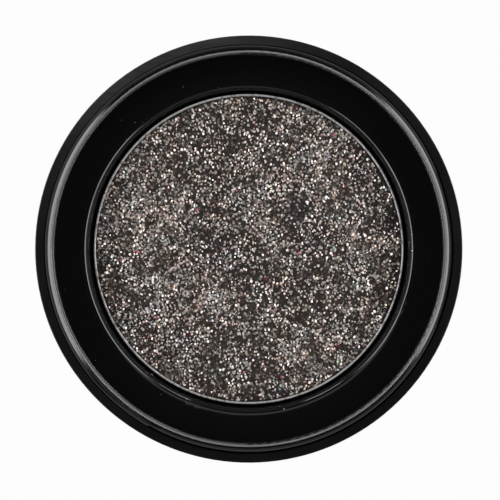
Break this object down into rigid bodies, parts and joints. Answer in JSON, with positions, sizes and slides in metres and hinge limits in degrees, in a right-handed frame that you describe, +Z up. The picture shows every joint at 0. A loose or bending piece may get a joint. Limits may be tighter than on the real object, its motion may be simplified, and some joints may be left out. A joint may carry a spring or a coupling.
{
  "type": "eyeshadow pot",
  "caption": "Round screw-neck pot holding a metal pan of pressed glitter eyeshadow, with its windowed screw lid resting beside it.",
  "frame": {"origin": "centre of the pot's foot ring, on the plane that it rests on", "axes": "+Z up out of the open pot along its axis, +X towards the lid lying beside it, +Y to the back"},
  "size_m": [0.102, 0.044, 0.0118],
  "materials": {
    "satin_shell": "satin",
    "gloss_insert": "gloss",
    "pan_metal": "satin",
    "glue": "satin",
    "powder": "matte",
    "label": "matte",
    "satin_lid": "satin",
    "clear_window": "polished",
    "seal_foam": "matte"
  },
  "bodies": {
    "pot": {"base_shell": "satin_shell", "neck_insert": "gloss_insert", "powder_pan": "pan_metal", "pan_adhesive": "glue", "pressed_powder": "powder", "base_label": "label"},
    "seal": {"lid_seal": "seal_foam"},
    "lid": {"lid_ring": "satin_lid", "lid_window": "clear_window"}
  },
  "joints": [
    {"name": "lid_carry", "type": "slide", "parent": "pot", "child": "seal", "axis": [-0.7704, 0, 0.6376], "range_m": [0, 0.07529]},
    {"name": "lid_turn", "type": "hinge", "parent": "seal", "child": "lid", "pos_m": [0.058, 0, 0], "axis": [0, 0, 1], "range_deg": [-450, 0]}
  ]
}
